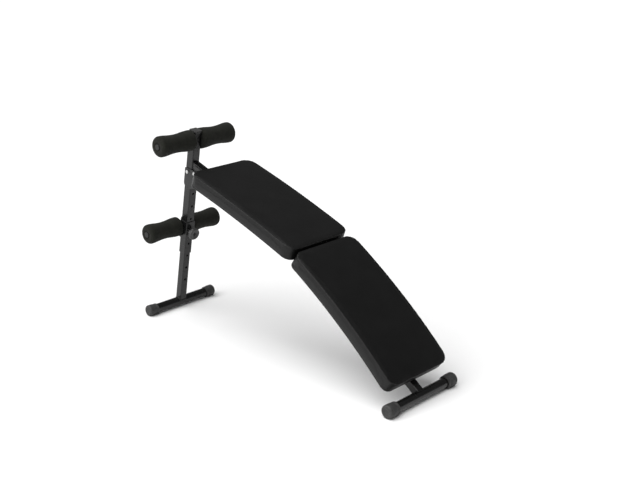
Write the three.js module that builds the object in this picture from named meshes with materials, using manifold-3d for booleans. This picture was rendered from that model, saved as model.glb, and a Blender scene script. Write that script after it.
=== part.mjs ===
// Folding decline sit up bench, in millimetres, +Z up and +X from the front post to the rear foot.
// The origin is on the floor, midway between the two foot bars.
import * as THREE from "three";
import { mergeVertices } from "three/addons/utils/BufferGeometryUtils.js";
import Module from "manifold-3d";

const wasm = await Module();
wasm.setup();

// ---------------------------------------------------------------- driving dimensions
const GAP = 0.4; // clearance between pieces that touch
const ROUND = 24; // sides of a round bar

const FOOT_SPAN = 1282; // between the axes of the two foot bars
const FOOT_BAR_RADIUS = 18;
const FRONT_FOOT = { axisHeight: 22.2, width: 344, capRadius: 23, capLength: 44 };
const REAR_FOOT = { axisHeight: 24, width: 360, capRadius: 25, capLength: 48 };

const FRONT_SLOPE = 19.5; // degrees that each rail drops towards the rear
const REAR_SLOPE = 36.9;
const RAIL_SIZE = 30;
const RAIL_WALL = 2;
const REAR_RAIL_LENGTH = 620; // knee, where the two rail axes meet, to the rear foot bar
const KNEE_GAP = 1.4; // between the two cut rail ends
const HINGE_DROP = 66; // middle hinge below each rail's axis
const HINGE_PLATE = 3; // thickness
const HINGE_LOBE_RADIUS = 16;
const HINGE_PLATE_REACH = 62; // along the rail
const HINGE_BOLT_RADIUS = 5;

const PIVOT_FROM_KNEE = 667; // fold pivot of the post, along the front rail
const PIVOT_DROP = 20; // below the front rail's axis
const LUG_THICKNESS = 2;
const LUG_RADIUS = 12;
const BOLT_RADIUS = 4;

const POST_LEAN = 10.6; // degrees that the post's top leans towards the rear
const POST_SIZE = 36;
const POST_WALL = 2;
const POST_BOTTOM = 229; // distances along the post, from the front foot bar's axis
const POST_TOP = 758;
const ANCHOR_BOLT_AT = 590;
const BRACKET_PLATE = 3.5;
const LEG_SIZE = 31;
const LEG_TOP = 415;
const HOLE_PITCH = 55.7;
const FIRST_HOLE = 106;
const LEG_HOLES = 6;
const HOLE_RADIUS = 4.8;
const FIRST_POST_HOLE = 3; // in steps of the pitch above the leg's first hole
const POST_HOLES = 5;
const KNOB_HOLE = 4;

const ROLLER_BAR_RADIUS = 12;
const TOP_ROLLER_WIDTH = 370;
const LOWER_ROLLER_WIDTH = 360;
const TOP_ROLLER_AT = 722;
const TOP_FOAM_RADIUS = 41;
const LOWER_FOAM_RADIUS = 39.5;
const FOAM_WAIST = 0.88; // waist over end radius
const FOAM_END_ROUND = 14;
const FOAM_SIDES = 20;

const SLEEVE_WALL = 2.5;
const SLEEVE_LENGTH = 76;
const SLEEVE_CENTRE = 334;
const LOWER_ROLLER_ABOVE_SLEEVE = 2; // bar's axis above the sleeve's centre
const KNOB_RADIUS = 25;
const KNOB_REACH = 52; // outer face from the post's axis
const PLUNGER_RADIUS = 4;

const PAD_WIDTH = 306;
const PAD_THICKNESS = 50;
const PAD_CORNER_RADIUS = 40;
const BOARD_THICKNESS = 12;
const BOARD_INSET = 3;
// the chord's middle along the rail and above its axis, and its angle to the rail
const UPPER_PAD = { chord: 563, centre: -280.8, lift: 27.5, radius: 5268, tilt: -0.88 };
const LOWER_PAD = { chord: 573.4, centre: 280.6, lift: 22.8, radius: 2364, tilt: 0.91 };
const BRACKET_SPACING = 300; // between a pad's two cross brackets
const BRACKET_WIDTH = 40;
const BRACKET_LENGTH = 200;
const BRACKET_WALL = 2.5;
const PAD_BOLT_SPACING = 164;
const PAD_BOLT_RADIUS = 3;

// ---------------------------------------------------------------- worked out from them
const half = RAIL_SIZE / 2;
const postHalf = POST_SIZE / 2;
const kneeX = FOOT_SPAN / 2 - REAR_RAIL_LENGTH * Math.cos(radians(REAR_SLOPE));
const kneeZ = REAR_FOOT.axisHeight + REAR_RAIL_LENGTH * Math.sin(radians(REAR_SLOPE));
const kneeTilt = (REAR_SLOPE - FRONT_SLOPE) / 2; // each rail's end against a square cut
const hingeAlong = HINGE_DROP * Math.tan(radians(kneeTilt));
const pivotOnPost = pivotInPostFrame();

// ---------------------------------------------------------------- materials
const blackSteel = paint(0x17181a, 0.38, 0.35);
const plateSteel = paint(0x2b2d30, 0.42, 0.5);
const zinc = paint(0xc4c6c8, 0.3, 0.95);
const blackPlastic = paint(0x1c1d1f, 0.5, 0);
const greyRubber = paint(0x2e3032, 0.75, 0);
const foam = paint(0x22231f, 0.95, 0);
const vinyl = paint(0x0c0c0d, 0.5, 0);
const plywood = paint(0x2a2420, 0.85, 0);

// ---------------------------------------------------------------- the bench
const bench = new THREE.Group();
const frontRail = frameAt(kneeX, kneeZ, FRONT_SLOPE);
const rearRail = frameAt(kneeX, kneeZ, REAR_SLOPE);
const post = frameAt(-FOOT_SPAN / 2, FRONT_FOOT.axisHeight, POST_LEAN);
const carriage = new THREE.Group();
carriage.position.z = SLEEVE_CENTRE;
post.add(carriage);

buildFrontRail();
buildRearRail();
buildPad(frontRail, "upper", UPPER_PAD);
buildPad(rearRail, "lower", LOWER_PAD);
buildPost();
buildCarriage();
buildLeg();

export default bench;

// ---------------------------------------------------------------- sections of the bench
function buildFrontRail() {
  const pivot = [-PIVOT_FROM_KNEE, -PIVOT_DROP];
  const lean = POST_LEAN - FRONT_SLOPE; // the post's cross direction, seen from the rail
  const capFace = postHalf + 1 - pivotOnPost.x; // end cap's outer face, square to the post, from the pivot
  const flange = 3;
  const tubeFace = capFace + flange + GAP;
  const rail = cut(
    squareTubeX(RAIL_SIZE, RAIL_WALL, -PIVOT_FROM_KNEE - 80, 20),
    slab(0, 0, kneeTilt, -KNEE_GAP / 2, 100),
    slab(...pivot, lean, -200, tubeFace),
  );
  add(frontRail, "front_rail", rail, blackSteel);

  const insert = RAIL_SIZE - 2 * RAIL_WALL - 2 * GAP;
  const capBody = join(
    keep(squareBarX(RAIL_SIZE, -PIVOT_FROM_KNEE - 80, 0), slab(...pivot, lean, capFace, capFace + flange)),
    keep(squareBarX(insert, -PIVOT_FROM_KNEE - 80, 0), slab(...pivot, lean, capFace + 1, capFace + 22)),
  );
  add(frontRail, "front_rail_cap", capBody, blackPlastic);

  const lugLength = 44;
  const lug = new THREE.Shape();
  lug.moveTo(pivot[0] - 14, 8);
  lug.lineTo(pivot[0] - LUG_RADIUS, pivot[1]);
  lug.absarc(pivot[0], pivot[1], LUG_RADIUS, Math.PI, 2 * Math.PI, false);
  lug.lineTo(pivot[0] + lugLength, -9);
  lug.lineTo(pivot[0] + lugLength, 8);
  lug.closePath();
  const plate = new THREE.Shape();
  const tip = [-hingeAlong, -HINGE_DROP];
  plate.moveTo(-HINGE_PLATE_REACH, 12);
  plate.lineTo(-4, 12);
  plate.lineTo(tip[0] + HINGE_LOBE_RADIUS, tip[1] + 6);
  plate.absarc(tip[0], tip[1], HINGE_LOBE_RADIUS, 0, -Math.PI * 0.8, true);
  plate.lineTo(-HINGE_PLATE_REACH, -10);
  plate.closePath();
  for (const [side, sign] of sides()) {
    const lugPlate = plateBetween(lug, sign, half + GAP, half + GAP + LUG_THICKNESS);
    const lugBore = boreY(BOLT_RADIUS + GAP, ...pivot);
    add(frontRail, `rail_lug_${side}`, cut(lugPlate, lugBore), plateSteel);
    const hingePlate = plateBetween(plate, sign, half + GAP, half + GAP + HINGE_PLATE);
    const hingeBore = boreY(HINGE_BOLT_RADIUS + GAP, ...tip);
    add(frontRail, `front_hinge_plate_${side}`, cut(hingePlate, hingeBore), plateSteel);
  }

  add(frontRail, "hinge_spacer", ringY(8, HINGE_BOLT_RADIUS + GAP, half, ...tip), zinc);
  const grip = half + 3 * GAP + 2 * HINGE_PLATE;
  add(frontRail, "hinge_bolt", boltY(HINGE_BOLT_RADIUS, grip, ...tip), zinc);
  add(frontRail, "hinge_nut", nutY(HINGE_BOLT_RADIUS, grip, ...tip), zinc);
}

function buildRearRail() {
  const rail = cut(
    squareTubeX(RAIL_SIZE, RAIL_WALL, -20, REAR_RAIL_LENGTH),
    slab(0, 0, -kneeTilt, -100, KNEE_GAP / 2),
    rodY(FOOT_BAR_RADIUS + GAP, -half - 5, half + 5, REAR_RAIL_LENGTH, 0),
  );
  add(rearRail, "rear_rail", rail, blackSteel);

  const tip = [hingeAlong, -HINGE_DROP];
  const outline = new THREE.Shape();
  outline.moveTo(HINGE_PLATE_REACH, 12);
  outline.lineTo(12, 12);
  outline.lineTo(tip[0] - HINGE_LOBE_RADIUS, tip[1] + 6);
  outline.absarc(tip[0], tip[1], HINGE_LOBE_RADIUS, Math.PI, Math.PI * 1.8, false);
  outline.lineTo(HINGE_PLATE_REACH, -10);
  outline.closePath();
  const pad = new THREE.Shape();
  pad.moveTo(26, -10);
  pad.lineTo(HINGE_PLATE_REACH, -10);
  pad.lineTo(HINGE_PLATE_REACH, 12);
  pad.lineTo(26, 12);
  pad.closePath();
  const inner = half + 2 * GAP + HINGE_PLATE;
  for (const [side, sign] of sides()) {
    const plate = join(
      plateBetween(outline, sign, inner, inner + HINGE_PLATE),
      plateBetween(pad, sign, half + GAP, inner + 1),
    );
    const bore = boreY(HINGE_BOLT_RADIUS + GAP, ...tip);
    add(rearRail, `rear_hinge_plate_${side}`, cut(plate, bore), plateSteel);
  }
  buildFootBar("rear", FOOT_SPAN / 2, REAR_FOOT);
}

// The pads are bands of a circle; each cross bracket sits square to the arc above the rail.
function buildPad(rail, name, pad) {
  const halfAngle = Math.asin(pad.chord / 2 / pad.radius);
  const chordFrame = new THREE.Group();
  chordFrame.position.set(pad.centre, 0, pad.lift);
  chordFrame.rotation.y = radians(pad.tilt);
  rail.add(chordFrame);
  const arcFrame = new THREE.Group();
  arcFrame.position.z = -pad.radius * Math.cos(halfAngle);
  chordFrame.add(arcFrame);

  const topLength = 2 * (pad.radius + PAD_THICKNESS) * Math.sin(halfAngle);
  const band = arcBand(pad.radius, pad.radius + PAD_THICKNESS, halfAngle, PAD_WIDTH);
  const outline = roundedPrism(topLength, PAD_WIDTH, PAD_CORNER_RADIUS, pad.radius);
  const boardAngle = halfAngle - BOARD_INSET / pad.radius;
  const boardPieces = [0, GAP].map((grow) => keep(
    arcBand(pad.radius, pad.radius + BOARD_THICKNESS + grow, boardAngle + grow / pad.radius, PAD_WIDTH),
    roundedPrism(topLength - 2 * (BOARD_INSET - grow), PAD_WIDTH - 2 * (BOARD_INSET - grow),
      PAD_CORNER_RADIUS - BOARD_INSET + grow, pad.radius),
  ));
  const [board, pocket] = boardPieces;
  const deepPocket = join(pocket, lowered(pocket, BOARD_THICKNESS / 2));
  add(arcFrame, `${name}_cushion`, cut(keep(band, outline), deepPocket), vinyl);

  const boltHoles = [];
  const bracketAngle = BRACKET_SPACING / 2 / pad.radius;
  for (const [end, turn] of [["front", -bracketAngle], ["rear", bracketAngle]]) {
    const station = new THREE.Group();
    station.position.set(pad.radius * Math.sin(turn), 0, pad.radius * Math.cos(turn));
    station.rotation.y = turn;
    arcFrame.add(station);
    const railTop = new THREE.BoxGeometry(400, 400, 100);
    railTop.translate(pad.centre, 0, half + GAP - 50);
    station.updateWorldMatrix(true, false);
    railTop.applyMatrix4(rail.matrixWorld);
    railTop.applyMatrix4(station.matrixWorld.clone().invert());
    add(station, `${name}_bracket_${end}`, cut(crossBracket(), railTop), blackSteel);
    for (const [side, sign] of sides()) {
      const bolt = padBolt();
      bolt.translate(0, (sign * PAD_BOLT_SPACING) / 2, 0);
      add(station, `${name}_bolt_${end}_${side}`, bolt, zinc);
      const hole = new THREE.CylinderGeometry(PAD_BOLT_RADIUS + GAP, PAD_BOLT_RADIUS + GAP, 60, 16);
      hole.rotateX(Math.PI / 2);
      hole.translate(0, (sign * PAD_BOLT_SPACING) / 2, 0);
      hole.applyMatrix4(station.matrix.compose(station.position, station.quaternion, station.scale));
      boltHoles.push(hole);
    }
  }
  add(arcFrame, `${name}_board`, cut(board, ...boltHoles), plywood);
}

function buildPost() {
  const holes = [];
  for (let step = 0; step < POST_HOLES; step += 1) {
    holes.push(rodX(HOLE_RADIUS, 0, POST_SIZE, FIRST_HOLE + (FIRST_POST_HOLE + step) * HOLE_PITCH));
  }
  const tube = cut(
    squareTubeZ(POST_SIZE, POST_WALL, POST_BOTTOM, POST_TOP),
    ...holes,
    boreY(ROLLER_BAR_RADIUS + GAP, 0, TOP_ROLLER_AT),
    boreY(BOLT_RADIUS + GAP, 0, ANCHOR_BOLT_AT),
  );
  add(post, "post_tube", tube, blackSteel);
  const insert = POST_SIZE - 2 * POST_WALL - 2 * GAP;
  const cap = join(
    squareBarZ(POST_SIZE, POST_TOP + GAP, POST_TOP + GAP + 4),
    squareBarZ(insert, POST_TOP - 14, POST_TOP + 2),
  );
  add(post, "post_cap", cap, blackPlastic);

  const plate = new THREE.Shape();
  const low = ANCHOR_BOLT_AT - 70;
  const high = ANCHOR_BOLT_AT + 13;
  const right = pivotOnPost.x + 30;
  plate.moveTo(-postHalf, low + 22);
  plate.quadraticCurveTo(-postHalf, low, postHalf, low);
  plate.lineTo(right - 34, low + 10);
  plate.quadraticCurveTo(right, low + 16, right, low + 46);
  plate.lineTo(right, high - 6);
  plate.quadraticCurveTo(right, high + 2, right - 8, high + 2);
  plate.lineTo(-postHalf + 4, high);
  plate.quadraticCurveTo(-postHalf, high, -postHalf, high - 4);
  plate.closePath();
  const inner = postHalf + GAP;
  for (const [side, sign] of sides()) {
    const bracket = cut(
      plateBetween(plate, sign, inner, inner + BRACKET_PLATE),
      boreY(BOLT_RADIUS + GAP, 0, ANCHOR_BOLT_AT),
      boreY(BOLT_RADIUS + GAP, pivotOnPost.x, pivotOnPost.y),
    );
    add(post, `post_bracket_${side}`, bracket, plateSteel);
  }
  const grip = inner + GAP + BRACKET_PLATE;
  for (const [name, x, z] of [["anchor", 0, ANCHOR_BOLT_AT], ["pivot", pivotOnPost.x, pivotOnPost.y]]) {
    add(post, `${name}_bolt`, boltY(BOLT_RADIUS, grip, x, z), zinc);
    add(post, `${name}_nut`, nutY(BOLT_RADIUS, grip, x, z), zinc);
  }
  buildRoller(post, "top", TOP_FOAM_RADIUS, TOP_ROLLER_WIDTH, 0, TOP_ROLLER_AT, postHalf + 2);
}

function buildCarriage() {
  const bore = POST_SIZE + 2 * GAP;
  const outer = bore + 2 * SLEEVE_WALL;
  const knobAt = FIRST_HOLE + KNOB_HOLE * HOLE_PITCH - SLEEVE_CENTRE;
  const sleeve = cut(
    squareTubeZ(outer, SLEEVE_WALL, -SLEEVE_LENGTH / 2, SLEEVE_LENGTH / 2),
    rodX(PLUNGER_RADIUS + GAP, 0, POST_SIZE, knobAt),
  );
  add(carriage, "roller_sleeve", sleeve, blackSteel);

  const wall = outer / 2;
  const collar = lathed([
    [PLUNGER_RADIUS + GAP, wall + GAP], [10, wall + GAP], [10, wall + 8],
    [8, wall + 12], [PLUNGER_RADIUS + GAP, wall + 12],
  ], true);
  add(carriage, "knob_collar", alongX(collar, knobAt), zinc);
  const hub = wall + 12 + GAP;
  const knob = lathed([
    [0, postHalf + GAP], [PLUNGER_RADIUS - 1, postHalf + GAP], [PLUNGER_RADIUS, postHalf + 1.5],
    [PLUNGER_RADIUS, hub], [12, hub], [KNOB_RADIUS - 3, hub + 3], [KNOB_RADIUS, hub + 6],
    [KNOB_RADIUS, KNOB_REACH - 3], [KNOB_RADIUS - 3, KNOB_REACH], [5, KNOB_REACH],
    [5, KNOB_REACH - 6], [0, KNOB_REACH - 6],
  ], false);
  add(carriage, "pull_knob", alongX(knob, knobAt), blackPlastic);

  const barX = -wall - GAP - ROLLER_BAR_RADIUS;
  const place = [barX, LOWER_ROLLER_ABOVE_SLEEVE, wall + 1];
  buildRoller(carriage, "lower", LOWER_FOAM_RADIUS, LOWER_ROLLER_WIDTH, ...place);
}

function buildLeg() {
  const holes = [];
  for (let step = 0; step < LEG_HOLES; step += 1) {
    holes.push(rodX(HOLE_RADIUS, 0, POST_SIZE, FIRST_HOLE + step * HOLE_PITCH));
  }
  const tube = cut(
    squareTubeZ(LEG_SIZE, POST_WALL, 0, LEG_TOP),
    rodY(FOOT_BAR_RADIUS + GAP, -POST_SIZE, POST_SIZE, 0, 0),
    ...holes,
  );
  add(post, "leg_tube", tube, blackSteel);
  buildFootBar("front", -FOOT_SPAN / 2, FRONT_FOOT);
}

// A foot bar is a round tube with two flared rubber caps, each with a flat sole on the floor.
function buildFootBar(name, x, size) {
  const foot = new THREE.Group();
  foot.position.set(x, 0, size.axisHeight);
  bench.add(foot);
  const end = size.width / 2;
  const tubeEnd = end - 8;
  const bar = ringY(FOOT_BAR_RADIUS, FOOT_BAR_RADIUS - 2, tubeEnd, 0, 0);
  add(foot, `${name}_foot_bar`, bar, blackSteel);
  const mouth = end - size.capLength;
  const inside = FOOT_BAR_RADIUS + GAP;
  const r = size.capRadius;
  const profile = [
    [0, tubeEnd + GAP], [inside, tubeEnd + GAP], [inside, mouth], [r - 2.5, mouth], [r - 1.5, mouth + 2],
    [r - 1.5, mouth + 14], [r, mouth + 18], [r, end - 5], [r - 1.5, end - 1.5], [r - 5, end], [0, end],
  ];
  const floor = new THREE.BoxGeometry(4 * r, 2 * size.width, r);
  floor.translate(0, 0, -size.axisHeight - r / 2);
  for (const [side, sign] of sides()) {
    const cap = lathed(profile, false);
    if (sign < 0) {
      cap.rotateZ(Math.PI);
    }
    add(foot, `${name}_foot_cap_${side}`, cut(cap, floor), greyRubber);
  }
}

// A roller is a round bar across the post with a plug in each end and a foam tube on each side.
function buildRoller(parent, name, radius, width, x, z, innerFace) {
  const roller = new THREE.Group();
  roller.position.set(x, 0, z);
  parent.add(roller);
  const end = width / 2;
  add(roller, `${name}_roller_bar`, ringY(ROLLER_BAR_RADIUS, ROLLER_BAR_RADIUS - 2, end - 2, 0, 0), blackSteel);
  const inside = ROLLER_BAR_RADIUS - 2 - GAP;
  const plugProfile = [
    [0, end - 18], [inside, end - 18], [inside, end - 2 + GAP], [ROLLER_BAR_RADIUS, end - 2 + GAP],
    [ROLLER_BAR_RADIUS - 1, end + 1], [0, end + 1],
  ];
  const length = end - 1 - innerFace;
  const bore = ROLLER_BAR_RADIUS + GAP;
  const foamProfile = [[bore, 0]];
  const steps = 3;
  for (let step = 0; step <= steps; step += 1) {
    const turn = (step / steps) * Math.PI / 2;
    const lip = FOAM_END_ROUND * 0.4;
    foamProfile.push([radius - lip * (1 - Math.sin(turn)), lip * (1 - Math.cos(turn))]);
  }
  foamProfile.push([radius * 0.985, length * 0.16]);
  foamProfile.push([radius * (FOAM_WAIST + 0.03), length * 0.34]);
  foamProfile.push([radius * FOAM_WAIST, length * 0.5]);
  foamProfile.push([radius * (FOAM_WAIST + 0.03), length * 0.66]);
  foamProfile.push([radius * 0.985, length * 0.82]);
  for (let step = steps; step >= 0; step -= 1) {
    const turn = (step / steps) * Math.PI / 2;
    foamProfile.push([
      radius - FOAM_END_ROUND * (1 - Math.sin(turn)),
      length - FOAM_END_ROUND * (1 - Math.cos(turn)),
    ]);
  }
  foamProfile.push([bore, length]);
  for (const [side, sign] of sides()) {
    const plug = lathed(plugProfile, false);
    const tube = lathed(foamProfile, true, FOAM_SIDES);
    tube.translate(0, innerFace, 0);
    if (sign < 0) {
      plug.rotateZ(Math.PI);
      tube.rotateZ(Math.PI);
    }
    add(roller, `${name}_bar_plug_${side}`, plug, blackPlastic);
    add(roller, `${name}_foam_${side}`, tube, foam);
  }
}

// ---------------------------------------------------------------- shapes
// Channel open towards the rail: a web under the board and two flanges that stand on the rail.
function crossBracket() {
  const web = new THREE.BoxGeometry(BRACKET_WIDTH, BRACKET_LENGTH, BRACKET_WALL);
  web.translate(0, 0, -GAP - BRACKET_WALL / 2);
  const flanges = [-1, 1].map((sign) => {
    const flange = new THREE.BoxGeometry(BRACKET_WALL, BRACKET_LENGTH, 40);
    return flange.translate((sign * (BRACKET_WIDTH - BRACKET_WALL)) / 2, 0, -GAP - 20);
  });
  const holes = sides().map(([, sign]) => {
    const hole = new THREE.CylinderGeometry(PAD_BOLT_RADIUS + GAP, PAD_BOLT_RADIUS + GAP, 20, 16);
    hole.rotateX(Math.PI / 2);
    return hole.translate(0, (sign * PAD_BOLT_SPACING) / 2, 0);
  });
  return cut(join(web, ...flanges), ...holes);
}

function padBolt() {
  const seat = -2 * GAP - BRACKET_WALL;
  const head = new THREE.CylinderGeometry(5.8, 5.8, 4, 6);
  head.rotateX(Math.PI / 2);
  head.translate(0, 0, seat - 2.8);
  const washer = new THREE.CylinderGeometry(8, 8, 1.2, 20);
  washer.rotateX(Math.PI / 2);
  washer.translate(0, 0, seat - 0.6);
  const shank = new THREE.CylinderGeometry(PAD_BOLT_RADIUS, PAD_BOLT_RADIUS, 15, 16);
  shank.rotateX(Math.PI / 2);
  shank.translate(0, 0, seat + 6.5);
  return join(head, washer, shank);
}

function boltY(radius, grip, x, z) {
  const headDepth = radius * 1.3;
  const head = rodY(radius * 1.95, -grip - headDepth, -grip, x, z, 6);
  return join(head, rodY(radius, -grip - 0.5, grip + headDepth + 3, x, z, 20));
}

function nutY(radius, grip, x, z) {
  const nut = rodY(radius * 1.95, grip, grip + radius * 1.3, x, z, 6);
  return cut(nut, boreY(radius + GAP, x, z));
}

function ringY(outer, inner, halfLength, x, z) {
  const ring = lathed([[inner, -halfLength], [outer, -halfLength], [outer, halfLength], [inner, halfLength]], true);
  return ring.translate(x, 0, z);
}

function boreY(radius, x, z) {
  return rodY(radius, -POST_SIZE, POST_SIZE, x, z, 20);
}

function rodY(radius, from, to, x, z, segments = ROUND) {
  const rod = new THREE.CylinderGeometry(radius, radius, to - from, segments);
  return rod.translate(x, (from + to) / 2, z);
}

function rodX(radius, from, to, z) {
  const rod = new THREE.CylinderGeometry(radius, radius, to - from, 16);
  rod.rotateZ(Math.PI / 2);
  return rod.translate((from + to) / 2, 0, z);
}

// Turned piece along Y: a list of [radius, y]; a closed one has a bore and joins its last point to its first.
function lathed(profile, closed, segments = ROUND) {
  const points = profile.map(([r, y]) => new THREE.Vector2(r, y));
  if (closed) {
    points.push(points[0].clone());
  }
  return new THREE.LatheGeometry(points, segments);
}

function alongX(geometry, z) {
  geometry.rotateZ(-Math.PI / 2);
  return geometry.translate(0, 0, z);
}

function roundedSquare(size, radius) {
  const a = size / 2 - radius;
  const outline = new THREE.Shape();
  outline.absarc(a, a, radius, 0, Math.PI / 2, false);
  outline.absarc(-a, a, radius, Math.PI / 2, Math.PI, false);
  outline.absarc(-a, -a, radius, Math.PI, Math.PI * 1.5, false);
  outline.absarc(a, -a, radius, Math.PI * 1.5, Math.PI * 2, false);
  outline.closePath();
  return outline;
}

function squareTubeZ(size, wall, from, to) {
  const outline = roundedSquare(size, 3);
  outline.holes.push(roundedSquare(size - 2 * wall, 1.2));
  return extruded(outline, to - from, 2).translate(0, 0, from);
}

function squareBarZ(size, from, to) {
  return extruded(roundedSquare(size, 2.5), to - from, 2).translate(0, 0, from);
}

function squareTubeX(size, wall, from, to) {
  return squareTubeZ(size, wall, from, to).rotateY(Math.PI / 2);
}

function squareBarX(size, from, to) {
  return squareBarZ(size, from, to).rotateY(Math.PI / 2);
}

// Flat plate drawn in the XZ plane, between two distances from the middle on one side.
function plateBetween(shape, sign, near, far) {
  const plate = extruded(shape, far - near, 8).rotateX(Math.PI / 2);
  return plate.translate(0, sign > 0 ? far : -near, 0);
}

// Band of a circle about the Y axis, symmetric about +Z.
function arcBand(inner, outer, halfAngle, width) {
  const top = Math.PI / 2;
  const outline = new THREE.Shape();
  outline.absarc(0, 0, outer, top + halfAngle, top - halfAngle, true);
  outline.absarc(0, 0, inner, top - halfAngle, top + halfAngle, false);
  outline.closePath();
  return extruded(outline, width, 12).rotateX(Math.PI / 2).translate(0, width / 2, 0);
}

function roundedPrism(length, width, radius, height) {
  const a = length / 2 - radius;
  const b = width / 2 - radius;
  const outline = new THREE.Shape();
  outline.absarc(a, b, radius, 0, Math.PI / 2, false);
  outline.absarc(-a, b, radius, Math.PI / 2, Math.PI, false);
  outline.absarc(-a, -b, radius, Math.PI, Math.PI * 1.5, false);
  outline.absarc(a, -b, radius, Math.PI * 1.5, Math.PI * 2, false);
  outline.closePath();
  return extruded(outline, 200, 5).translate(0, 0, height - 100);
}

function extruded(shape, depth, curveSegments) {
  return new THREE.ExtrudeGeometry(shape, { depth, bevelEnabled: false, curveSegments });
}

function lowered(geometry, distance) {
  return geometry.clone().translate(0, 0, -distance);
}

// Large block between two distances from a point, square to a direction turned by tilt about Y.
function slab(x, z, tilt, from, to) {
  const block = new THREE.BoxGeometry(to - from, 300, 300);
  block.translate((from + to) / 2, 0, 0);
  block.rotateY(radians(tilt));
  return block.translate(x, 0, z);
}

// ---------------------------------------------------------------- solids and placing
function solidOf(geometry) {
  const bare = geometry.clone();
  bare.deleteAttribute("normal");
  bare.deleteAttribute("uv");
  const merged = mergeVertices(bare);
  return new wasm.Manifold(new wasm.Mesh({
    numProp: 3,
    vertProperties: new Float32Array(merged.attributes.position.array),
    triVerts: new Uint32Array(merged.index.array),
  }));
}

function geometryOf(solid) {
  const mesh = solid.getMesh();
  const geometry = new THREE.BufferGeometry();
  geometry.setAttribute("position", new THREE.BufferAttribute(new Float32Array(mesh.vertProperties), 3));
  geometry.setIndex(new THREE.BufferAttribute(new Uint32Array(mesh.triVerts), 1));
  geometry.computeVertexNormals();
  return geometry;
}

function cut(geometry, ...tools) {
  return geometryOf(tools.reduce((solid, tool) => solid.subtract(solidOf(tool)), solidOf(geometry)));
}

function join(geometry, ...others) {
  return geometryOf(others.reduce((solid, other) => solid.add(solidOf(other)), solidOf(geometry)));
}

function keep(geometry, limit) {
  return geometryOf(solidOf(geometry).intersect(solidOf(limit)));
}

function add(parent, name, geometry, material) {
  const mesh = new THREE.Mesh(geometry, material);
  mesh.name = name;
  parent.add(mesh);
}

function paint(color, roughness, metalness) {
  return new THREE.MeshStandardMaterial({ color, roughness, metalness });
}

function sides() {
  return [["left", 1], ["right", -1]];
}

function radians(degrees) {
  return THREE.MathUtils.degToRad(degrees);
}

// Group whose X axis drops by a slope towards the rear.
function frameAt(x, z, slope) {
  const frame = new THREE.Group();
  frame.position.set(x, 0, z);
  frame.rotation.y = radians(slope);
  bench.add(frame);
  return frame;
}

function pivotInPostFrame() {
  const up = new THREE.Vector3(0, 1, 0);
  const place = new THREE.Vector3(-PIVOT_FROM_KNEE, 0, -PIVOT_DROP);
  place.applyAxisAngle(up, radians(FRONT_SLOPE));
  place.add(new THREE.Vector3(kneeX + FOOT_SPAN / 2, 0, kneeZ - FRONT_FOOT.axisHeight));
  place.applyAxisAngle(up, -radians(POST_LEAN));
  return new THREE.Vector2(place.x, place.z);
}
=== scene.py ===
"""Decline sit up bench: the looks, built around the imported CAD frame. Metres, degrees where named so."""
import math
import random

import bmesh
import bpy
from mathutils import Matrix, Vector, noise


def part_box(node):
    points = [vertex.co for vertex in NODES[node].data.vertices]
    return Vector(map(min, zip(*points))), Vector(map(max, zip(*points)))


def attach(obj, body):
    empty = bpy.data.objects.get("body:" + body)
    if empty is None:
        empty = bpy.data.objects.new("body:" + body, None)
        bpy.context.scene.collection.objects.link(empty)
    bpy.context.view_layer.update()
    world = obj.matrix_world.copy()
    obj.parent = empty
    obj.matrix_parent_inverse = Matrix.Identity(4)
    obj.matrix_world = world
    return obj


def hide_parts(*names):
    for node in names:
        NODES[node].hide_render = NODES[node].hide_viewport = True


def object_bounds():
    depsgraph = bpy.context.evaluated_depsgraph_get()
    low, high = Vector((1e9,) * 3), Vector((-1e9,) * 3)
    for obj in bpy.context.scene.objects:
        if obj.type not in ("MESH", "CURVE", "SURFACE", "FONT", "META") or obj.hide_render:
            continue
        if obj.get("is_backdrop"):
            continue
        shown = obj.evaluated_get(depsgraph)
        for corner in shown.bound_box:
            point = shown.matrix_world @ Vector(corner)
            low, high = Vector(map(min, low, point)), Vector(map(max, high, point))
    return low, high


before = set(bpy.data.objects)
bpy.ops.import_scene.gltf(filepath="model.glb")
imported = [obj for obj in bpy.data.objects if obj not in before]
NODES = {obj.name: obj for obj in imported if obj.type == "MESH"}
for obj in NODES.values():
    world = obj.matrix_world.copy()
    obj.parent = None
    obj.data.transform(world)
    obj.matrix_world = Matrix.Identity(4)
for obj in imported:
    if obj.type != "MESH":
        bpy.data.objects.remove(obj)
cad_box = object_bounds()

# ---------------------------------------------------------------- the bench's own directions
REAR_RAIL_LENGTH = 0.620  # knee, where the two rail axes meet, to the rear foot bar
FRONT_SLOPE = math.radians(19.5)
REAR_SLOPE = math.radians(36.9)
POST_LEAN = math.radians(10.6)
PAD_THICKNESS = 0.050
PAD_WIDTH = 0.306
PAD_CORNER = 0.040
BRACKET_SPACING = 0.300
UPPER_PAD = dict(chord=0.563, centre=-0.2808, lift=0.0275, radius=5.268, tilt=-0.88)
LOWER_PAD = dict(chord=0.5734, centre=0.2806, lift=0.0228, radius=2.364, tilt=0.91)
FOOT_BAR_RADIUS = 0.018
RAIL_HALF = 0.015
POST_HALF = 0.018
LEG_HALF = 0.0155
SLEEVE_HALF = 0.0209
SLEEVE_CENTRE = 0.334
KNOB_AT = 0.3288
KNOB_CENTRE_RADIUS = 0.0075  # the knob's dark middle


def centre_of(node):
    low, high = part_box(node)
    return (low + high) / 2


class Direction:
    """A plane frame: along drops towards the rear, across is square to it, y is the bench's Y."""

    def __init__(self, origin, slope):
        self.origin = Vector(origin)
        self.along = Vector((math.cos(slope), 0, -math.sin(slope)))
        self.across = Vector((math.sin(slope), 0, math.cos(slope)))

    def at(self, along, y, across):
        return self.origin + self.along * along + self.across * across + Vector((0, y, 0))


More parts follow.
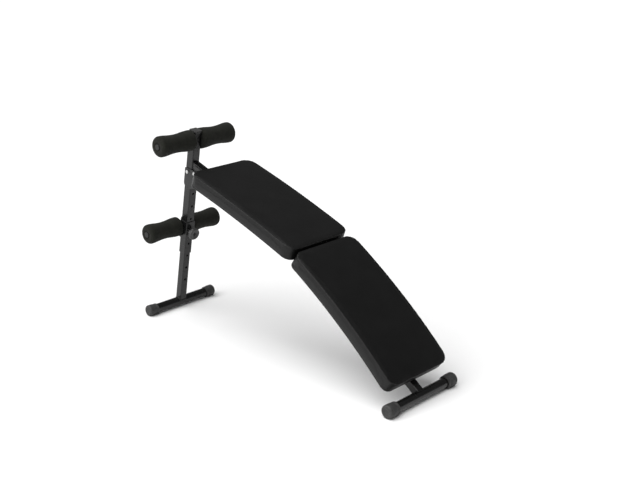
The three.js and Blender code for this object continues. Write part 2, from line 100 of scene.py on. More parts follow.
front_axis = centre_of("front_foot_bar")
rear_axis = centre_of("rear_foot_bar")
knee = rear_axis + REAR_RAIL_LENGTH * Vector((-math.cos(REAR_SLOPE), 0, math.sin(REAR_SLOPE)))
front_rail = Direction(knee, FRONT_SLOPE)
rear_rail = Direction(knee, REAR_SLOPE)
post = Direction(front_axis, POST_LEAN)  # along is the post's cross direction, across is up the post


class PadArc:
    """Pad coordinates to the row frame and back: u along, v across, w above the board's underside."""

    def __init__(self, rail, pad):
        half_angle = math.asin(pad["chord"] / 2 / pad["radius"])
        slope = math.atan2(-rail.along.z, rail.along.x) + math.radians(pad["tilt"])
        self.radius = pad["radius"]
        self.top = pad["radius"] + PAD_THICKNESS
        self.half_length = self.top * half_angle
        self.chord = Direction(rail.at(pad["centre"], 0, pad["lift"]), slope)
        self.centre = -pad["radius"] * math.cos(half_angle)

    def at(self, u, v, w):
        angle = u / self.top
        rho = self.radius + w
        return self.chord.at(rho * math.sin(angle), v, self.centre + rho * math.cos(angle))

    def outline(self, inset, height, count):
        """The pad's plan outline at a height. Its corners tighten towards the board."""
        narrower = (self.half_length - PAD_CORNER) * (PAD_THICKNESS - height) / self.top
        corner = PAD_CORNER - inset - 1.5 * narrower
        return rounded_outline(self.half_length - inset, PAD_WIDTH / 2 - inset, corner, count)

    def place(self, point):
        offset = point - self.chord.origin
        x = offset.dot(self.chord.along)
        z = offset.dot(self.chord.across) - self.centre
        return math.atan2(x, z) * self.top, point.y, math.hypot(x, z) - self.radius


# ---------------------------------------------------------------- materials
class Shader:
    """A Principled material whose varying sockets come from nodes and whose constant ones are set on it."""

    def __init__(self, name, **constants):
        self.material = bpy.data.materials.new(name)
        self.material.use_nodes = True
        self.tree = self.material.node_tree
        self.bsdf = self.tree.nodes["Principled BSDF"]
        for socket, value in constants.items():
            self.bsdf.inputs[socket.replace("_", " ")].default_value = value
        self.place = self.node("ShaderNodeTexCoord").outputs["Object"]

    def node(self, kind, inputs=None, **settings):
        made = self.tree.nodes.new(kind)
        for setting, value in settings.items():
            setattr(made, setting, value)
        for socket, value in (inputs or {}).items():
            if isinstance(value, bpy.types.NodeSocket):
                self.tree.links.new(value, made.inputs[socket])
            else:
                made.inputs[socket].default_value = value
        return made

    def noise(self, scale, detail=3.0, roughness=0.55, distortion=0.0, place=None):
        made = self.node("ShaderNodeTexNoise", {
            "Vector": place or self.place, "Scale": scale, "Detail": detail,
            "Roughness": roughness, "Distortion": distortion,
        })
        return made.outputs["Fac"]

    def cells(self, scale, feature="F1", randomness=1.0, place=None):
        made = self.node("ShaderNodeTexVoronoi", {
            "Vector": place or self.place, "Scale": scale, "Randomness": randomness,
        }, feature=feature)
        return made.outputs["Distance"]

    def stretched(self, scale):
        made = self.node("ShaderNodeMapping", {"Vector": self.place, "Scale": scale})
        return made.outputs["Vector"]

    def spread(self, value, low, high, from_low=0.3, from_high=0.7):
        made = self.node("ShaderNodeMapRange", {
            "Value": value, "From Min": from_low, "From Max": from_high, "To Min": low, "To Max": high,
        })
        return made.outputs["Result"]

    def mix(self, factor, a, b):
        made = self.node("ShaderNodeMix", data_type="RGBA")
        for socket, value in ((made.inputs[0], factor), (made.inputs[6], a), (made.inputs[7], b)):
            if isinstance(value, bpy.types.NodeSocket):
                self.tree.links.new(value, socket)
            else:
                socket.default_value = value
        return made.outputs[2]

    def bump(self, height, distance, strength=1.0, normal=None):
        inputs = {"Height": height, "Distance": distance, "Strength": strength}
        if normal is not None:
            inputs["Normal"] = normal
        return self.node("ShaderNodeBump", inputs).outputs["Normal"]

    def rounded(self, radius):
        return self.node("ShaderNodeBevel", {"Radius": radius}, samples=6).outputs["Normal"]

    def edges(self, rounded):
        """1 along sharp edges, 0 on flat faces, from how far the rounded normal turns."""
        flat = self.node("ShaderNodeNewGeometry").outputs["Normal"]
        turned = self.node("ShaderNodeVectorMath", {0: rounded, 1: flat}, operation="DOT_PRODUCT")
        return self.spread(turned.outputs["Value"], 1.0, 0.0, 0.75, 0.99)

    def use(self, **sockets):
        for socket, value in sockets.items():
            self.tree.links.new(value, self.bsdf.inputs[socket.replace("_", " ")])
        return self.material


def grey(value, warm=0.0):
    return (value * (1 + warm), value, value * (1 - warm), 1.0)


def powder_coat(name, dark, light, low, high):
    s = Shader(name, Metallic=0.0, Specular_IOR_Level=0.42)
    rounded = s.rounded(0.0011)
    edge = s.edges(rounded)
    colour = s.mix(s.spread(s.noise(38), 0, 1), grey(dark), grey(light))
    colour = s.mix(s.spread(s.noise(260), 0, 0.5), colour, grey(dark * 0.8))
    worn = s.spread(s.noise(70, 5), 0, 0.55, 0.45, 0.75)
    wear = s.node("ShaderNodeMath", {0: edge, 1: worn}, operation="MULTIPLY").outputs[0]
    colour = s.mix(wear, colour, grey(light * 3.2))
    peel = s.bump(s.noise(620, 2), 0.00009, 0.7, rounded)
    return s.use(Base_Color=colour, Roughness=s.spread(s.noise(24, 4), low, high), Normal=peel)


def zinc_plate():
    s = Shader("zinc", Metallic=1.0)
    rounded = s.rounded(0.0006)
    brushed = s.noise(900, 2, place=s.stretched((1, 0.15, 1)))
    colour = s.mix(s.spread(s.noise(150), 0, 1), (0.50, 0.50, 0.51, 1), (0.72, 0.72, 0.70, 1))
    return s.use(Base_Color=colour, Roughness=s.spread(brushed, 0.20, 0.40),
                 Normal=s.bump(brushed, 0.00004, 0.6, rounded))


def moulded(name, dark, light, low, high, grain=1400, depth=0.00008):
    s = Shader(name, Metallic=0.0, Specular_IOR_Level=0.45)
    rounded = s.rounded(0.0008)
    scuffed = s.spread(s.noise(60, 5), 0, 1, 0.5, 0.8)
    colour = s.mix(s.spread(s.noise(120), 0, 1), grey(dark), grey(light))
    colour = s.mix(scuffed, colour, grey(light * 1.3, 0.02))
    skin = s.bump(s.cells(grain), depth, 0.7, rounded)
    return s.use(Base_Color=colour, Roughness=s.spread(s.noise(45), low, high), Normal=skin)


def vinyl_cloth():
    """Black upholstery vinyl: pebbled grain of about a millimetre with fine creases between the pebbles, which
    are painted darker as painted shade.
    """
    s = Shader("vinyl", Metallic=0.0, Specular_IOR_Level=0.27)
    pebbles = s.cells(980, "SMOOTH_F1")
    creases = s.spread(s.cells(560, "DISTANCE_TO_EDGE"), 0, 1, 0.0, 0.22)
    pores = s.noise(3000, 2)
    colour = s.mix(s.spread(s.noise(9, 4), 0, 1), grey(0.0050), grey(0.0070))
    # painted shade: the creases between the pebbles get a darker colour, standing in for the shade that falls in
    # them
    colour = s.mix(creases, grey(0.0032), colour)
    normal = s.bump(pores, 0.00004, 0.5)
    normal = s.bump(pebbles, 0.00016, 0.55, normal)
    normal = s.bump(creases, 0.00007, 0.7, normal)
    normal = s.bump(s.noise(26, 3), 0.0011, 0.35, normal)
    return s.use(Base_Color=colour, Roughness=s.spread(s.noise(17, 4), 0.34, 0.44), Normal=normal)


def foam_rubber():
    """Closed cell foam with a soft skin: fine pores painted darker as painted shade, slight mottling, no shine.
    """
    s = Shader("foam", Metallic=0.0, Specular_IOR_Level=0.20, Sheen_Weight=0.04, Sheen_Roughness=0.5)
    mottled = s.spread(s.noise(42, 5), 0, 1)
    colour = s.mix(mottled, (0.0080, 0.0084, 0.0062, 1), (0.0125, 0.0130, 0.0098, 1))
    pores = s.cells(1150)
    # painted shade: the pore pits are painted darker towards their middles, standing in for the shade in them
    colour = s.mix(s.spread(pores, 0.5, 0, 0.0, 0.25), colour, (0.008, 0.008, 0.007, 1))
    normal = s.bump(pores, 0.00022, 0.8)
    normal = s.bump(s.noise(190, 4), 0.0004, 0.6, normal)
    return s.use(Base_Color=colour, Roughness=s.spread(s.noise(80), 0.82, 0.96), Normal=normal)


def plywood():
    s = Shader("board", Metallic=0.0)
    grain = s.noise(34, 6, 0.6, 0.6, s.stretched((0.6, 9, 6)))
    pores = s.noise(420, 2, place=s.stretched((0.12, 1, 1)))
    colour = s.mix(s.spread(grain, 0, 1), (0.026, 0.018, 0.012, 1), (0.062, 0.043, 0.028, 1))
    colour = s.mix(s.spread(pores, 0, 0.6, 0.5, 0.7), colour, (0.022, 0.014, 0.009, 1))
    normal = s.bump(pores, 0.0002, 0.6)
    return s.use(Base_Color=colour, Roughness=s.spread(s.noise(60), 0.68, 0.86), Normal=normal)


def floor_paint():
    s = Shader("floor", Metallic=0.0, Specular_IOR_Level=0.12)
    colour = s.mix(s.spread(s.noise(1.5), 0, 1), grey(0.90), grey(0.92))
    return s.use(Base_Color=colour, Roughness=s.spread(s.noise(6), 0.75, 0.85))


FINISH = {
    "black_steel": powder_coat("black_steel", 0.0050, 0.0078, 0.20, 0.30),
    "plate_steel": powder_coat("plate_steel", 0.0120, 0.0180, 0.28, 0.40),
    "zinc": zinc_plate(),
    "black_plastic": moulded("black_plastic", 0.006, 0.010, 0.40, 0.54),
    "grey_rubber": moulded("grey_rubber", 0.024, 0.033, 0.55, 0.72, 900, 0.00016),
    "foam": foam_rubber(),
    "vinyl": vinyl_cloth(),
    "board": plywood(),
}
FINISH["grip"] = moulded("grip", 0.034, 0.046, 0.40, 0.52)
SLOT_WORDS = (
    ("bolt", "zinc"), ("nut", "zinc"), ("hinge_spacer", "zinc"), ("knob_collar", "zinc"),
    ("board", "board"), ("cushion", "vinyl"), ("foam", "foam"), ("foot_cap", "grey_rubber"),
    ("plug", "black_plastic"), ("cap", "black_plastic"), ("knob", "black_plastic"),
    ("lug", "plate_steel"), ("hinge_plate", "plate_steel"), ("post_bracket", "plate_steel"),
)


def slot_of(node):
    for word, slot in SLOT_WORDS:
        if word in node:
            return slot
    return "black_steel"


for node_name, node_object in NODES.items():
    node_object.data.materials.clear()
    node_object.data.materials.append(FINISH["grip" if node_name == "post_cap" else slot_of(node_name)])


# ---------------------------------------------------------------- making pieces
def piece(name, verts, faces, slot, body, smooth=True):
    mesh = bpy.data.meshes.new(name)
    mesh.from_pydata([tuple(v) for v in verts], [], faces)
    mesh.update()
    tidy = bmesh.new()
    tidy.from_mesh(mesh)
    bmesh.ops.recalc_face_normals(tidy, faces=tidy.faces)
    tidy.to_mesh(mesh)
    tidy.free()
    made = bpy.data.objects.new(name, mesh)
    bpy.context.scene.collection.objects.link(made)
    mesh.materials.append(FINISH[slot])
    if smooth:
        mesh.polygons.foreach_set("use_smooth", [True] * len(mesh.polygons))
    if body:
        dress(made, slot, body)
    return made


def dress(made, slot, body):
    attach(made, body)


def bridged(rings, closed_ends=True, loop=False):
    """Faces between rings that have the same number of points, with a cap on each end."""
    count = len(rings[0])
    verts = [point for ring in rings for point in ring]
    faces = []
    steps = len(rings) if loop else len(rings) - 1
    for r in range(steps):
        a = r * count
        b = ((r + 1) % len(rings)) * count
        for i in range(count):
            j = (i + 1) % count
            faces.append((a + i, a + j, b + j, b + i))
    if closed_ends and not loop:
        faces.append(tuple(range(count)))
        faces.append(tuple(range(len(verts) - 1, len(verts) - 1 - count, -1)))
    return verts, faces


def rounded_outline(half_u, half_v, corner, count):
    """Points at equal steps round a rounded rectangle, from the middle of its +u side."""
    corner = max(corner, 0.0005)
    straight_u = 2 * (half_u - corner)
    straight_v = 2 * (half_v - corner)
    quarter = corner * math.pi / 2
    total = 2 * straight_u + 2 * straight_v + 4 * quarter
    legs = (
        ("line", (half_u, 0), (0, 1), straight_v / 2),
        ("arc", (half_u - corner, half_v - corner), 0, quarter),
        ("line", (half_u - corner, half_v), (-1, 0), straight_u),
        ("arc", (-half_u + corner, half_v - corner), 90, quarter),
        ("line", (-half_u, half_v - corner), (0, -1), straight_v),
        ("arc", (-half_u + corner, -half_v + corner), 180, quarter),
        ("line", (-half_u + corner, -half_v), (1, 0), straight_u),
        ("arc", (half_u - corner, -half_v + corner), 270, quarter),
        ("line", (half_u, -half_v + corner), (0, 1), straight_v / 2),
    )
    points = []
    for i in range(count):
        s = total * i / count
        for kind, start, way, length in legs:
            if s <= length:
                break
            s -= length
        if kind == "line":
            points.append((start[0] + way[0] * s, start[1] + way[1] * s))
        else:
            turn = math.radians(way) + s / corner
            points.append((start[0] + corner * math.cos(turn), start[1] + corner * math.sin(turn)))
    return points


def frame_axes(direction):
    side = direction.cross(Vector((0, 1, 0)))
    if side.length < 0.1:
        side = direction.cross(Vector((1, 0, 0)))
    side.normalize()
    return side, direction.cross(side).normalized()


def bead(name, path, radius, body, slot="black_steel", closed=False):
    """A weld bead: overlapping drops along a path of points."""
    points = resampled(path, 0.0009, closed)
    count = len(points)
    rings = []
    for i, point in enumerate(points):
        before = points[i - 1] if (i or closed) else point
        after = points[(i + 1) % count] if (i < count - 1 or closed) else point
        side, lift = frame_axes((after - before).normalized())
        drop = abs(math.sin(i * math.pi / 3.4))
        size = radius * (0.80 + 0.20 * drop)
        size *= 1 + 0.10 * noise.noise(point * 300)
        if not closed and i in (0, count - 1):
            size *= 0.35
        rings.append([point + side * size * math.cos(t) + lift * size * math.sin(t)
                      for t in (2 * math.pi * k / 10 for k in range(10))])
    verts, faces = bridged(rings, loop=closed)
    return piece(name, verts, faces, slot, body)


def resampled(path, step, closed):
    points = [Vector(p) for p in path]
    if closed:
        points.append(points[0])
    out = []
    for a, b in zip(points, points[1:]):
        pieces = max(1, round((b - a).length / step))
        out.extend(a.lerp(b, k / pieces) for k in range(pieces))
    if not closed:
        out.append(points[-1])
    return out


def turned(name, origin, axis, profile, slot, body, segments=96, shape=None):
    """A lathed piece: profile is (radius, distance along the axis), shape changes a radius by turn."""
    side, lift = frame_axes(axis)
    rings = []
    for index, (radius, along) in enumerate(profile):
        ring = []
        for k in range(segments):
            turn = 2 * math.pi * k / segments
            r = radius * (shape(turn, index, along) if shape else 1.0)
            ring.append(origin + axis * along + side * r * math.cos(turn) + lift * r * math.sin(turn))
        rings.append(ring)
    first, last = profile[0], profile[-1]
    tube = abs(first[0] - last[0]) < 1e-7 and abs(first[1] - last[1]) < 1e-7
    verts, faces = bridged(rings[:-1] if tube else rings, loop=tube)
    return piece(name, verts, faces, slot, body)


def smooth_profile(points, per_leg):
    """Catmull-Rom curve through profile points."""
    out = []
    last = len(points) - 1
    for i in range(last):
        p0, p1, p2, p3 = (points[max(i - 1, 0)], points[i], points[i + 1], points[min(i + 2, last)])
        for k in range(per_leg):
            t = k / per_leg
            out.append(tuple(
                0.5 * (2 * b + (c - a) * t + (2 * a - 5 * b + 4 * c - d) * t * t
                       + (3 * b - a - 3 * c + d) * t ** 3)
                for a, b, c, d in zip(p0, p1, p2, p3)))
    out.append(points[last])
    return out


# ---------------------------------------------------------------- cushions
WALL = (  # inset from the pad's outline and height above the board's underside, in millimetres
    (5.0, 1.4), (1.4, 1.6), (0.7, 4), (0.4, 9), (0.3, 16), (0.3, 24), (0.3, 32), (0.35, 40.0),
    (0.6, 45.0), (1.4, 48.0), (3.2, 49.4), (6.5, 49.9), (12, 50.0),
)
CROWN_INSETS = (18, 26, 36, 50, 66, 84, 104, 124, 142, 152)
CROWN = 1.4
SWELL_CAP = 0.0009
EDGE_ROLL = 0.0035  # radius where the wall meets the top
EDGE_INSET = 0.0003


def cushion_blank(name, arc):
    """Closed crowned form over the CAD solid's outline, for the cloth to swell from."""
    rings = []
    for inset, height in WALL:
        rings.append((inset / 1000, height / 1000))
    for inset in CROWN_INSETS:
        rise = 1 - (1 - min(inset / 130, 1)) ** 2
        rings.append((inset / 1000, (WALL[-1][1] + CROWN * rise) / 1000))
    loops = []
    for inset, height in rings:
        outline = arc.outline(inset, height, 260)
        loops.append([arc.at(u, v, height) for u, v in outline])
    verts, faces = bridged(loops)
    return piece(name, verts, faces, "vinyl", None)


def remesh(made, voxel):
    change = made.modifiers.new("voxels", "REMESH")
    change.mode = "VOXEL"
    change.voxel_size = voxel
    change.use_smooth_shade = True
    keep_evaluated(made)


def keep_evaluated(made):
    """Replaces a piece's mesh with what its modifiers make of it."""
    graph = bpy.context.evaluated_depsgraph_get()
    graph.update()
    result = bpy.data.meshes.new_from_object(made.evaluated_get(graph))
    old = made.data
    made.modifiers.clear()
    made.data = result
    bpy.data.meshes.remove(old)
    if not made.data.materials:
        made.data.materials.append(FINISH["vinyl"])


def swell(made, arc):
    """Cloth under pressure over firm foam: the underside is held, the rest moves by the cap at most."""
    pinned = made.vertex_groups.new(name="held")
    start = [v.co.copy() for v in made.data.vertices]
    for v in made.data.vertices:
        low = 1 - min(max((arc.place(v.co)[2] - 0.0025) / 0.004, 0), 1)
        if low > 0:
            pinned.add([v.index], low, "REPLACE")
    cloth = made.modifiers.new("cloth", "CLOTH")
    settings = cloth.settings
    settings.quality = 5
    settings.mass = 0.35
    settings.tension_stiffness = 18
    settings.compression_stiffness = 12
    settings.shear_stiffness = 8
    settings.bending_stiffness = 0.8
    settings.use_pressure = True
    settings.uniform_pressure_force = 4
    settings.effector_weights.gravity = 0
    settings.vertex_group_mass = "held"
    cloth.point_cache.frame_start = 1
    cloth.point_cache.frame_end = 20
    for step in range(1, 21):
        bpy.context.scene.frame_set(step)
    keep_evaluated(made)
    bpy.context.scene.frame_set(1)
    for v, rest in zip(made.data.vertices, start):
        move = v.co - rest
        if move.length > SWELL_CAP:
            v.co = rest + move.normalized() * SWELL_CAP


def corner_turn(arc, u, v):
    """0 on the straight sides, up to 1 in the middle of a rounded corner, and the corner's angle."""
    du = abs(u) - (arc.half_length - PAD_CORNER)
    dv = abs(v) - (PAD_WIDTH / 2 - PAD_CORNER)
    if du <= 0 or dv <= 0:
        return 0.0, 0.0
    angle = math.atan2(dv, du)
    return math.sin(2 * angle), angle


def inset_and_heading(arc, u, v):
    """How far a point lies inside the pad's plan outline, and the way out of it."""
    du = abs(u) - (arc.half_length - PAD_CORNER)
    dv = abs(v) - (PAD_WIDTH / 2 - PAD_CORNER)
    if du > 0 and dv > 0:
        away = math.hypot(du, dv)
        return PAD_CORNER - away, math.copysign(du / away, u), math.copysign(dv / away, v)
    if du > dv:
        return PAD_CORNER - du, math.copysign(1, u), 0.0
    return PAD_CORNER - dv, 0.0, math.copysign(1, v)


def tighten_edge(made, arc):
    """Fills the roll between wall and top out to a small radius, which the voxels had rounded off."""
    for v in made.data.vertices:
        u, y, w = arc.place(v.co)
        inset, out_u, out_v = inset_and_heading(arc, u, y)
        outward = EDGE_ROLL + EDGE_INSET - inset
        upward = w - (PAD_THICKNESS - EDGE_INSET - EDGE_ROLL)
        if outward <= 0 or upward <= 0:
            continue
        away = math.hypot(outward, upward)
        grow = min(max(EDGE_ROLL / away - 1, 0), 1.0)
        v.co = arc.at(u + out_u * outward * grow, y + out_v * outward * grow, w + upward * grow)


def crease(made, arc):
    """Pull of the stretched vinyl: pleats round the corners that fade upwards, faint waves on the walls."""
    made.data.update()
    normals = [v.normal.copy() for v in made.data.vertices]
    for v, normal in zip(made.data.vertices, normals):
        u, y, w = arc.place(v.co)
        fade = max(0.0, 1 - w / 0.034)
        turn, angle = corner_turn(arc, u, y)
        pleat = turn * fade ** 1.4 * math.sin(angle * 26 + noise.noise(v.co * 20) * 1.6) * 0.00055
        wall = 1 - abs(normal.dot(arc.chord.across))
        wave = noise.noise(v.co * 24) * 0.0005 * wall + noise.noise(v.co * 9) * 0.0007 * (1 - wall)
        v.co += normal * (pleat + wave * 0.6)


def subdivided(made):
    change = made.modifiers.new("fine", "SUBSURF")
    change.levels = 1
    change.render_levels = 1
    keep_evaluated(made)


def hem(name, arc, body):
    """The vinyl's turned under edge: a thin gathered strip under the board's rim."""
    count = 420
    rng = random.Random(7)
    phase = rng.random() * 6
    section = (
        (2.4, 15.0), (1.5, 11.0), (0.35, 6.5), (0.2, 2.0), (1.0, -0.3), (3.5, -0.75),
        (9, -0.85), (20, -0.85), (23, -0.75), (23.2, -0.2), (20, -0.15), (9, -0.15),
        (3.5, 0.0), (2.6, 1.2), (2.8, 6.0), (3.0, 15.0),
    )
    loops = []
    for inset, height in section:
        loop = []
        outline = arc.outline(inset / 1000, height / 1000, count)
        for index, (u, v) in enumerate(outline):
            turn, angle = corner_turn(arc, u * 1.02, v * 1.02)
            ripple = turn * math.sin(angle * 24 + phase) * 0.5 if -0.9 < height < 0.1 else 0
            ragged = noise.noise(Vector((u * 60, v * 60, 0))) * 1.4 if inset > 22 else 0
            reach = 1 - ragged / 1000 / max(math.hypot(u, v), 0.05)
            loop.append(arc.at(u * reach, v * reach, (height - abs(ripple)) / 1000))
        loops.append(loop)
    verts, faces = bridged(loops, loop=True)
    return piece(name, verts, faces, "vinyl", body)


def staples(name, arc, body):
    """A row of flat wire staples that hold the hem to the board."""
    crown = ((-5.0, -0.3), (-4.9, -1.05), (-4.3, -1.35), (4.3, -1.35), (4.9, -1.05), (5.0, -0.3))
    wire = ((-0.55, -0.22), (0.55, -0.22), (0.62, 0.0), (0.55, 0.22), (-0.55, 0.22), (-0.62, 0.0))
    verts, faces = [], []
    rng = random.Random(11)
    inset = 0.014
    count = 76
    outline = arc.outline(inset, 0, count)
    for index, (u, v) in enumerate(outline):
        ahead = outline[(index + 1) % count]
        heading = math.atan2(ahead[1] - v, ahead[0] - u) + rng.uniform(-0.22, 0.22)
        way = (math.cos(heading), math.sin(heading))
        side = (-way[1], way[0])
        rings = []
        for along, height in crown:
            ring = []
            for across, lift in wire:
                pu = u + (way[0] * along + side[0] * across) / 1000
                pv = v + (way[1] * along + side[1] * across) / 1000
                ring.append(arc.at(pu, pv, (height - lift * (abs(along) < 4.8)) / 1000))
            rings.append(ring)
        more_verts, more_faces = bridged(rings)
        base = len(verts)
        verts.extend(more_verts)
        faces.extend(tuple(i + base for i in face) for face in more_faces)
    return piece(name, verts, faces, "zinc", body, smooth=False)


def build_cushion(side, arc, body):
    made = cushion_blank(f"{side}_pad", arc)
    remesh(made, 0.0036)
    swell(made, arc)
    subdivided(made)
    tighten_edge(made, arc)
    crease(made, arc)
    made.data.polygons.foreach_set("use_smooth", [True] * len(made.data.polygons))
    dress(made, "vinyl", body)
    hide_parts(f"{side}_cushion")
    hem(f"{side}_pad_hem", arc, body)
    staples(f"{side}_pad_staples", arc, body)


upper_arc = PadArc(front_rail, UPPER_PAD)
lower_arc = PadArc(rear_rail, LOWER_PAD)
build_cushion("upper", upper_arc, "front_frame")
build_cushion("lower", lower_arc, "rear_frame")


# ---------------------------------------------------------------- foam rollers
def build_foam(place, side, radius, waist):
    node = f"{place}_foam_{side}"
    low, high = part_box(node)
    sign = 1 if side == "left" else -1
    middle = (low + high) / 2
    inner, outer = (low.y, high.y) if sign > 0 else (high.y, low.y)
    length = abs(outer - inner)
    origin = Vector((middle.x, inner, middle.z))
    axis = Vector((0, sign, 0))
    bore = 0.0125
    lip, end = 0.0058, 0.0140
    profile = [(bore, 0.0), (bore + 0.004, -0.0), (radius - lip - 0.004, 0.0)]
    profile += [(radius - lip * (1 - math.sin(t)), lip * (1 - math.cos(t)))
                for t in (k / 8 * math.pi / 2 for k in range(9))]
    body = (
        (1.0, 0.05), (0.998, 0.10), (0.985, 0.17), (0.95, 0.26), (waist + 0.03, 0.34),
        (waist + 0.006, 0.43), (waist, 0.5), (waist + 0.006, 0.57), (waist + 0.03, 0.66),
        (0.95, 0.74), (0.985, 0.82), (0.999, 0.88),
    )
    profile += smooth_profile([(radius * r, length * a) for r, a in body], 5)
    profile += [(radius - end * (1 - math.sin(t)), length - end * (1 - math.cos(t)))
                for t in (k / 12 * math.pi / 2 for k in range(11, -1, -1))]
    profile += [(bore + 0.006, length - 0.0002), (bore + 0.002, length - 0.0012)]
    profile += [(bore, length - 0.004)]
    profile += [(bore, length * 0.5), (bore, 0.0)]

    def uneven(turn, index, along):
        where = Vector((math.cos(turn) * 2.2, math.sin(turn) * 2.2, along * 45 + sign * 3 + radius * 400))
        on_skin = radius * 0.6 > bore and 2 < index < len(profile) - 5
        return 1 + 0.006 * noise.noise(where) * (1 if on_skin else 0)

    name = f"{place}_roller_foam_{side}"
    made = turned(name, origin, axis, profile, "foam", f"{place}_roller_{side}", 88, uneven)
    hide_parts(node)


for roller_side in ("left", "right"):
    build_foam("top", roller_side, 0.041, 0.88)
    build_foam("lower", roller_side, 0.0395, 0.88)


# ---------------------------------------------------------------- pull knob
def build_knob():
    """Turned grip with shallow flutes, a dished face and the end of its plunger in the middle."""
    start = POST_HALF + 0.0004
    hub = SLEEVE_HALF + 0.0124
    face = 0.052
    profile = [(0.0012, start), (0.0030, start), (0.0040, start + 0.0011), (0.0040, hub), (0.0105, hub),
               (0.0120, hub + 0.0006)]
    rim = ((0.0135, hub + 0.0020), (0.0190, hub + 0.0028), (0.0228, hub + 0.0042), (0.0246, hub + 0.0066),
           (0.0250, (hub + face) / 2 + 0.001), (0.0246, face - 0.0040), (0.0228, face - 0.0012),
           (0.0198, face), (0.0160, face - 0.0006), (0.0120, face - 0.0026), (0.0085, face - 0.0038))
    profile += smooth_profile(rim, 4)
    profile += [(0.0066, face - 0.0042), (0.0060, face - 0.0050), (0.0060, face - 0.0072)]
    profile += [(0.0042, face - 0.0074), (0.0038, face - 0.0058), (0.0010, face - 0.0056)]

    def fluted(turn, index, along):
        grip = max(0.0, 1 - abs(along - (hub + face) / 2 - 0.001) / 0.011)
        on_rim = 9 < index < len(profile) - 12
        return 1 - 0.055 * grip * (0.5 + 0.5 * math.cos(12 * turn)) ** 1.5 * (1 if on_rim else 0)

    origin = post.at(0, 0, KNOB_AT)
    made = turned("pull_knob_grip", origin, post.along, profile, "black_plastic", "pull_knob", 144, fluted)
    made.data.materials[0] = FINISH["grip"]
    made.data.materials.append(FINISH["black_plastic"])
    for face in made.data.polygons:
        offset = face.center - origin
        if (offset - post.along * offset.dot(post.along)).length < KNOB_CENTRE_RADIUS:
            face.material_index = 1
    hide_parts("pull_knob")


build_knob()


# ---------------------------------------------------------------- foot caps and round bars
def build_foot(place, half_width, cap_radius, cap_length, body):
    axis_point = centre_of(f"{place}_foot_bar")
    tube_end = half_width - 0.008
    for side, sign in (("left", 1), ("right", -1)):
        r = cap_radius
        mouth = half_width - cap_length
        inside = FOOT_BAR_RADIUS + 0.0004
        outer = [(r - 0.0026, mouth), (r - 0.0017, mouth + 0.0008), (r - 0.0014, mouth + 0.0022)]
        outer += [(r - 0.0014, mouth + 0.0095), (r - 0.0026, mouth + 0.0102), (r - 0.0026, mouth + 0.0118),
                  (r - 0.0014, mouth + 0.0125), (r - 0.0013, mouth + 0.0150), (r - 0.0002, mouth + 0.0190)]
        outer += [(r, mouth + 0.0230), (r, half_width - 0.0080)]
        outer += [(r - 0.0070 * (1 - math.cos(t)), half_width - 0.0070 * (1 - math.sin(t)))
                  for t in (k / 8 * math.pi / 2 for k in range(9))]
        outer += [(r * 0.55, half_width + 0.0001), (r * 0.50, half_width - 0.0007)]
        outer += [(r * 0.15, half_width - 0.0009)]
        profile = [(0.002, tube_end + 0.0006), (inside, tube_end + 0.0006), (inside, mouth)] + outer
        axis = Vector((0, sign, 0))
        made = turned(f"{place}_foot_boot_{side}", axis_point, axis, profile, "grey_rubber", None, 96)
        flat_sole(made)
        dress(made, "grey_rubber", body)
        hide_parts(f"{place}_foot_cap_{side}")
    wall = 0.0020
    profile = [(FOOT_BAR_RADIUS - wall, -tube_end), (FOOT_BAR_RADIUS, -tube_end)]
    profile += [(FOOT_BAR_RADIUS, -tube_end + 2 * tube_end * k / 12) for k in range(1, 13)]
    profile += [(FOOT_BAR_RADIUS - wall, tube_end), (FOOT_BAR_RADIUS - wall, -tube_end)]
    made = turned(f"{place}_foot_tube", axis_point, Vector((0, 1, 0)), profile, "black_steel", body, 72)
    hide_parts(f"{place}_foot_bar")


def flat_sole(made):
    """Presses the round cap flat where it stands on the floor."""
    for v in made.data.vertices:
        v.co.z = max(v.co.z, 0.0)
    made.data.update()


build_foot("front", 0.172, 0.023, 0.044, "leg")
build_foot("rear", 0.180, 0.025, 0.048, "rear_frame")


# ---------------------------------------------------------------- welds
def square_path(half, steps=14):
    """Points round a square section with slightly rounded corners, as (a, b) pairs."""
    return rounded_outline(half, half, 0.003, 4 * steps)


def saddle(frame_dir, half, height_of, up):
    """The line where a square tube meets a round bar: up is 'across' for a post, 'along' for a rail."""
    path = []
    for a, y in square_path(half):
        reach = height_of(a)
        path.append(frame_dir.at(a, y, reach) if up else frame_dir.at(REAR_RAIL_LENGTH - reach, y, a))
    return path


def bar_reach(a):
    return math.sqrt(max((FOOT_BAR_RADIUS + 0.0006) ** 2 - a * a, 0))


bead("weld_leg_foot", saddle(post, LEG_HALF + 0.0004, bar_reach, True), 0.0021, "leg", closed=True)
bead("weld_rail_foot", saddle(rear_rail, RAIL_HALF + 0.0004, bar_reach, False), 0.0022, "rear_frame", closed=True)


def bracket_welds(side, rail, arc, body):
    """Beads along the cross brackets' feet, where each flange's plane meets the rail's top."""
    for end, sign in (("front", -1), ("rear", 1)):
        turn = sign * BRACKET_SPACING / 2 / arc.radius
        radial = (arc.at(turn * arc.top, 0, 0.01) - arc.at(turn * arc.top, 0, 0)).normalized()
        along = radial.cross(Vector((0, 1, 0))).normalized()
        for where, edge in (("a", -1), ("b", 1)):
            corner = arc.at(turn * arc.top, 0, 0) + along * edge * 0.0206
            drop = ((corner - rail.origin).dot(rail.across) - RAIL_HALF - 0.0009) / radial.dot(rail.across)
            foot = corner - radial * drop
            path = [foot + Vector((0, y, 0)) for y in (-0.0125, 0, 0.0125)]
            bead(f"weld_{side}_bracket_{end}_{where}", path, 0.0017, body)


bracket_welds("upper", front_rail, upper_arc, "front_frame")
bracket_welds("lower", rear_rail, lower_arc, "rear_frame")

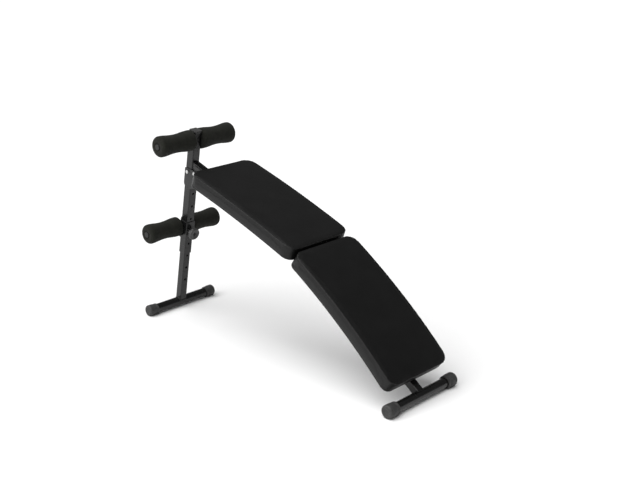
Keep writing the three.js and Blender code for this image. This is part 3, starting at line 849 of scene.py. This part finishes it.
for weld_side, weld_sign in (("left", 1), ("right", -1)):
    bead(f"weld_front_hinge_{weld_side}",
         [front_rail.at(a, weld_sign * 0.0158, 0.0124) for a in (-0.059, -0.040, -0.020, -0.007)],
         0.0015, "front_frame")
    bead(f"weld_rear_hinge_{weld_side}",
         [rear_rail.at(a, weld_sign * 0.0162, 0.0124) for a in (0.029, 0.040, 0.050, 0.060)],
         0.0016, "rear_frame")
    bead(f"weld_lug_{weld_side}",
         [front_rail.at(a, weld_sign * 0.0156, 0.0083) for a in (-0.676, -0.660, -0.640, -0.626)],
         0.0013, "front_frame")
for weld_end, weld_step in (("above", 0.0075), ("below", -0.0075)):
    bead(f"weld_roller_bar_{weld_end}",
         [post.at(-SLEEVE_HALF - 0.0021, y, SLEEVE_CENTRE + 0.002 + weld_step) for y in (-0.0175, 0, 0.0175)],
         0.0021, "roller_carriage")


# ---------------------------------------------------------------- floor, light and camera
def build_floor():
    size = 60
    mesh = bpy.data.meshes.new("floor")
    corners = [(-size, -size, 0), (size, -size, 0), (size, size, 0), (-size, size, 0)]
    mesh.from_pydata(corners, [], [(0, 1, 2, 3)])
    made = bpy.data.objects.new("floor", mesh)
    made.location.z = -0.0004
    bpy.context.scene.collection.objects.link(made)
    mesh.materials.append(floor_paint())
    made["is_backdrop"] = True


def softbox(name, place, target, size, power):
    light = bpy.data.lights.new(name, "AREA")
    light.shape = "RECTANGLE"
    light.size, light.size_y = size
    light.energy = power
    made = bpy.data.objects.new(name, light)
    made.location = place
    made.rotation_euler = (Vector(target) - Vector(place)).to_track_quat("-Z", "Y").to_euler()
    bpy.context.scene.collection.objects.link(made)


def build_sun():
    """One very wide soft source, high on the bench's right, for an even floor and faint shadows."""
    light = bpy.data.lights.new("sky", "SUN")
    light.energy = 4.0
    light.angle = math.radians(84)
    made = bpy.data.objects.new("sky", light)
    made.rotation_euler = Vector((0.12, 0.50, -0.86)).to_track_quat("-Z", "Y").to_euler()
    bpy.context.scene.collection.objects.link(made)


def build_world(strength):
    world = bpy.data.worlds.new("studio")
    world.use_nodes = True
    background = world.node_tree.nodes["Background"]
    background.inputs["Color"].default_value = (1, 1, 1, 1)
    background.inputs["Strength"].default_value = strength
    bpy.context.scene.world = world


def build_camera():
    azimuth, elevation, roll = math.radians(44.119), math.radians(18.976), math.radians(-0.198)
    back = Vector((math.sin(azimuth) * math.cos(elevation), -math.cos(azimuth) * math.cos(elevation),
                   math.sin(elevation)))
    right = Vector((math.cos(azimuth), math.sin(azimuth), 0))
    up = back.cross(right)
    right, up = (right * math.cos(roll) + up * math.sin(roll), up * math.cos(roll) - right * math.sin(roll))
    camera = bpy.data.cameras.new("camera")
    camera.sensor_width = 36
    camera.lens = 62.158
    camera.clip_end = 200
    made = bpy.data.objects.new("camera", camera)
    made.matrix_world = Matrix((
        (right.x, up.x, back.x, 2.6907), (right.y, up.y, back.y, -2.6410),
        (right.z, up.z, back.z, 1.6913), (0, 0, 0, 1),
    ))
    bpy.context.scene.collection.objects.link(made)
    bpy.context.scene.camera = made


build_floor()
build_world(0.15)
build_sun()
softbox("key", (-1.2, -3.4, 2.2), (0.1, 0, 0.3), (2.4, 1.2), 14)
build_camera()
bpy.context.scene.view_settings.view_transform = "Standard"

final_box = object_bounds()
rows = [[list(corner) for corner in box] for box in (cad_box, final_box)]
